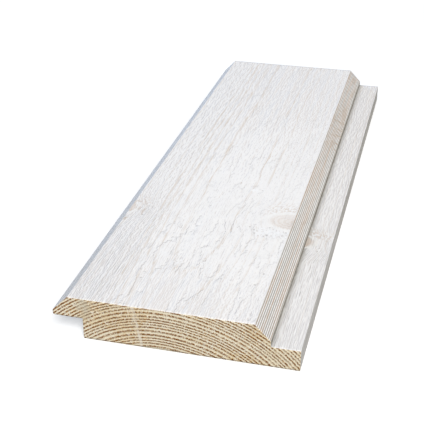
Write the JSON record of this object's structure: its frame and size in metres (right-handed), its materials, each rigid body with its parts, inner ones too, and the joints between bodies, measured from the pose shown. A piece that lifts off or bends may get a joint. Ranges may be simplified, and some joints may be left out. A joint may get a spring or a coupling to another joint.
{
  "type": "double bevel cladding board",
  "caption": "Short length of white primed softwood shiplap board with a sawn face, a bevel along both long edges, an upper lip and a lower lap, for cladding an outside wall.",
  "frame": {"origin": "middle of the board's length and overall width, on the plane of its back", "axes": "+X across the board from the lip to the lap, +Y along the board with the grain, +Z out of the sawn face"},
  "size_m": [0.12, 0.35, 0.022],
  "materials": {
    "primed_wood": "matte"
  },
  "bodies": {
    "root": {"cladding_board": "primed_wood"}
  },
  "joints": []
}
